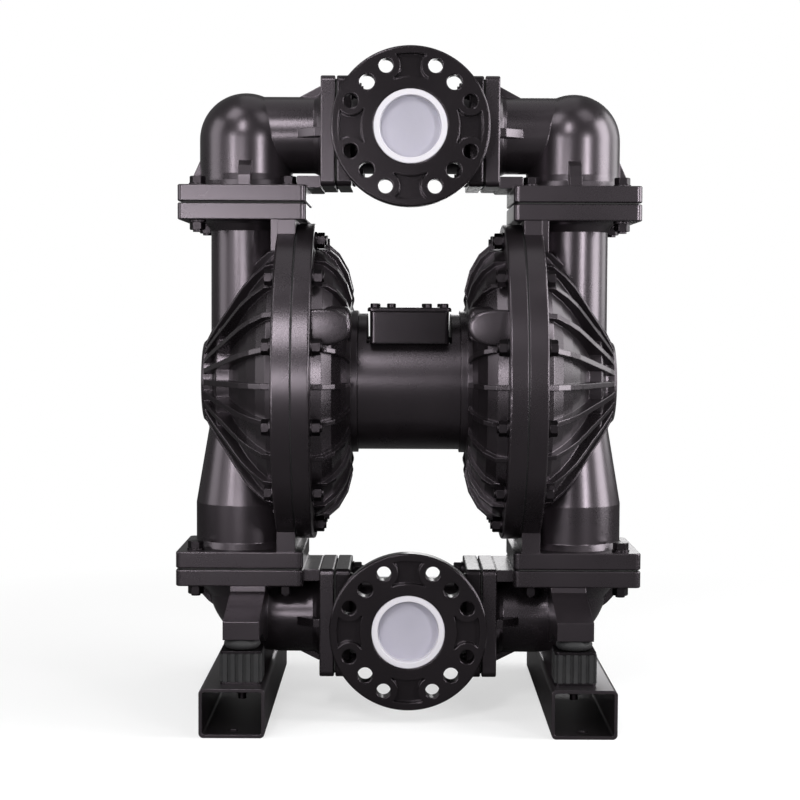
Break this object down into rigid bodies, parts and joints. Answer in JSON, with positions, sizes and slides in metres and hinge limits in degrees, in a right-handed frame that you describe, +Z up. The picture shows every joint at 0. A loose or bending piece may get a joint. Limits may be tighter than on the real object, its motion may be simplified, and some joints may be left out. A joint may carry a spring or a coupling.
{
  "type": "air operated diaphragm pump",
  "caption": "Air operated double diaphragm pump with two flanged ports, ribbed side chambers, elbow manifolds and an air valve, on rubber-mounted foot rails.",
  "frame": {"origin": "middle of the four base bolt holes, at floor level under the two foot rails", "axes": "+Z up, both port flanges face -Y, the two diaphragm chambers lie along X"},
  "size_m": [0.595, 0.424, 0.844],
  "materials": {
    "cast_black": "satin black coating on cast aluminium",
    "rail_paint": "satin black coating on welded steel tube",
    "rubber_black": "moulded black rubber",
    "ball_rubber": "moulded rubber, ground round",
    "gasket_dark": "pressed sheet gasket",
    "zinc_steel": "zinc plated steel",
    "ground_steel": "ground and polished steel",
    "seat_steel": "turned stainless steel",
    "bare_aluminium": "turned aluminium",
    "brass_fitting": "turned brass",
    "silencer_plastic": "moulded grey black plastic",
    "plug_white": "moulded translucent white plastic"
  },
  "bodies": {
    "housing": {"air_chamber_left": "cast_black", "air_chamber_right": "cast_black", "centre_block": "cast_black", "chamber_bolts": "zinc_steel", "chamber_nuts": "zinc_steel", "cover_screws": "zinc_steel", "diaphragm_left": "rubber_black", "diaphragm_right": "rubber_black", "discharge_elbow_left": "cast_black", "discharge_elbow_right": "cast_black", "discharge_seats": "seat_steel", "discharge_tee": "cast_black", "foot_rail_left": "rail_paint", "foot_rail_right": "rail_paint", "inlet_bush": "brass_fitting", "liquid_chamber_left": "cast_black", "liquid_chamber_right": "cast_black", "mount_nuts": "zinc_steel", "mount_studs": "zinc_steel", "neck_screws": "zinc_steel", "plate_bolts": "zinc_steel", "plate_gaskets": "gasket_dark", "plate_nuts": "zinc_steel", "rod_bushes": "brass_fitting", "rubber_mount_front_left": "rubber_black", "rubber_mount_front_right": "rubber_black", "rubber_mount_rear_left": "rubber_black", "rubber_mount_rear_right": "rubber_black", "side_gaskets": "gasket_dark", "side_nuts": "zinc_steel", "side_studs": "zinc_steel", "silencer": "silencer_plastic", "suction_elbow_left": "cast_black", "suction_elbow_right": "cast_black", "suction_seats": "seat_steel", "suction_tee": "cast_black", "valve_body": "cast_black", "valve_cover": "cast_black", "valve_end_plugs": "bare_aluminium", "valve_sleeve": "bare_aluminium"},
    "rod": {"diaphragm_rod": "ground_steel", "inner_plate_left": "bare_aluminium", "inner_plate_right": "bare_aluminium", "outer_plate_left": "bare_aluminium", "outer_plate_right": "bare_aluminium"},
    "spool": {"valve_spool": "ground_steel"},
    "pilot": {"pilot_pin": "ground_steel"},
    "ball_suction_left": {"suction_ball_left": "ball_rubber"},
    "ball_suction_right": {"suction_ball_right": "ball_rubber"},
    "ball_discharge_left": {"discharge_ball_left": "ball_rubber"},
    "ball_discharge_right": {"discharge_ball_right": "ball_rubber"},
    "plug_suction": {"suction_plug": "plug_white"},
    "plug_discharge": {"discharge_plug": "plug_white"}
  },
  "joints": [
    {"name": "rod_stroke", "type": "slide", "parent": "housing", "child": "rod", "axis": [1, 0, 0], "range_m": [-0.032, 0.032], "deforming": ["diaphragm_left", "diaphragm_right"]},
    {"name": "pilot_shift", "type": "slide", "parent": "housing", "child": "pilot", "axis": [1, 0, 0], "range_m": [-0.006, 0.006]},
    {"name": "spool_shift", "type": "slide", "parent": "housing", "child": "spool", "axis": [1, 0, 0], "range_m": [-0.009, 0.009]},
    {"name": "suction_ball_left_lift", "type": "slide", "parent": "housing", "child": "ball_suction_left", "axis": [0, 0, 1], "range_m": [0, 0.018]},
    {"name": "suction_ball_right_lift", "type": "slide", "parent": "housing", "child": "ball_suction_right", "axis": [0, 0, 1], "range_m": [0, 0.018]},
    {"name": "discharge_ball_left_lift", "type": "slide", "parent": "housing", "child": "ball_discharge_left", "axis": [0, 0, 1], "range_m": [0, 0.018]},
    {"name": "discharge_ball_right_lift", "type": "slide", "parent": "housing", "child": "ball_discharge_right", "axis": [0, 0, 1], "range_m": [0, 0.018]},
    {"name": "suction_plug_pull", "type": "slide", "parent": "housing", "child": "plug_suction", "axis": [0, -1, 0], "range_m": [0, 0.12]},
    {"name": "discharge_plug_pull", "type": "slide", "parent": "housing", "child": "plug_discharge", "axis": [0, -1, 0], "range_m": [0, 0.12]}
  ],
  "couplings": [
    {"joint": "pilot_shift", "follows": "rod_stroke", "ratio": 0.1875}
  ]
}
